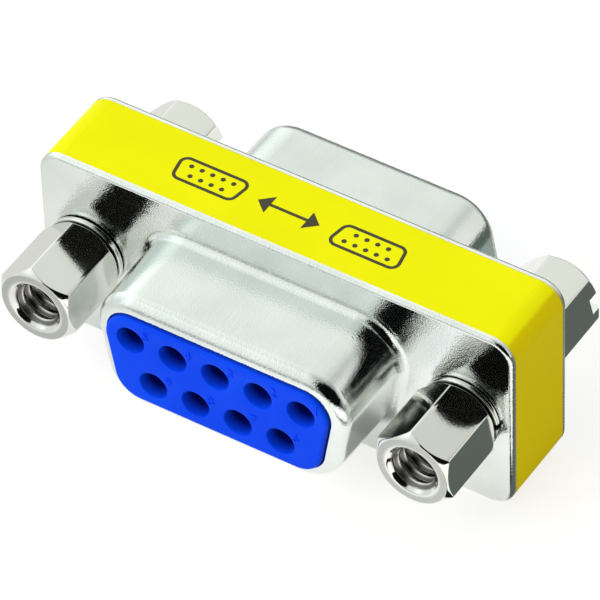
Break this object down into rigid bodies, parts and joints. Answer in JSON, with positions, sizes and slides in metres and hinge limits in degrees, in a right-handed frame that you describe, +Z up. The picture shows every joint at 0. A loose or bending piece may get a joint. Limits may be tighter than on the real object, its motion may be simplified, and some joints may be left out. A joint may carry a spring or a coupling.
{
  "type": "d-sub gender changer",
  "caption": "Small adapter with a D-shaped socket connector on each side of a yellow spacer and hexagonal screw posts at the ends, to join the plugs of serial cables end to end",
  "frame": {"origin": "middle of the underside, on the surface that the flanges and the spacer stand on", "axes": "+X along the flanges, +Y from the front connector to the rear one, so the front one faces -Y, +Z up"},
  "size_m": [0.0308, 0.0178, 0.0126],
  "materials": {
    "plated_steel": "tin or nickel plated drawn steel, semi-gloss with a fine grain",
    "bright_nickel": "bright nickel plated brass, with turning marks on the end faces",
    "gilt_contact": "thin gold flash over copper alloy",
    "blue_moulding": "moulded thermoplastic, satin",
    "yellow_moulding": "moulded thermoplastic, satin",
    "green_board": "glass epoxy with green solder mask"
  },
  "bodies": {
    "root": {"front_shell": "plated_steel", "rear_shell": "plated_steel", "spacer": "yellow_moulding", "front_insulator": "blue_moulding", "rear_insulator": "blue_moulding", "front_insulator_back": "blue_moulding", "rear_insulator_back": "blue_moulding", "front_contact_1": "gilt_contact", "front_contact_2": "gilt_contact", "front_contact_3": "gilt_contact", "front_contact_4": "gilt_contact", "front_contact_5": "gilt_contact", "front_contact_6": "gilt_contact", "front_contact_7": "gilt_contact", "front_contact_8": "gilt_contact", "front_contact_9": "gilt_contact", "rear_contact_1": "gilt_contact", "rear_contact_2": "gilt_contact", "rear_contact_3": "gilt_contact", "rear_contact_4": "gilt_contact", "rear_contact_5": "gilt_contact", "rear_contact_6": "gilt_contact", "rear_contact_7": "gilt_contact", "rear_contact_8": "gilt_contact", "rear_contact_9": "gilt_contact", "circuit_board": "green_board", "front_left_jack_nut": "bright_nickel", "front_right_jack_nut": "bright_nickel", "front_left_lock_washer": "bright_nickel", "front_right_lock_washer": "bright_nickel", "rear_left_jack_screw": "bright_nickel", "rear_right_jack_screw": "bright_nickel"}
  },
  "joints": []
}
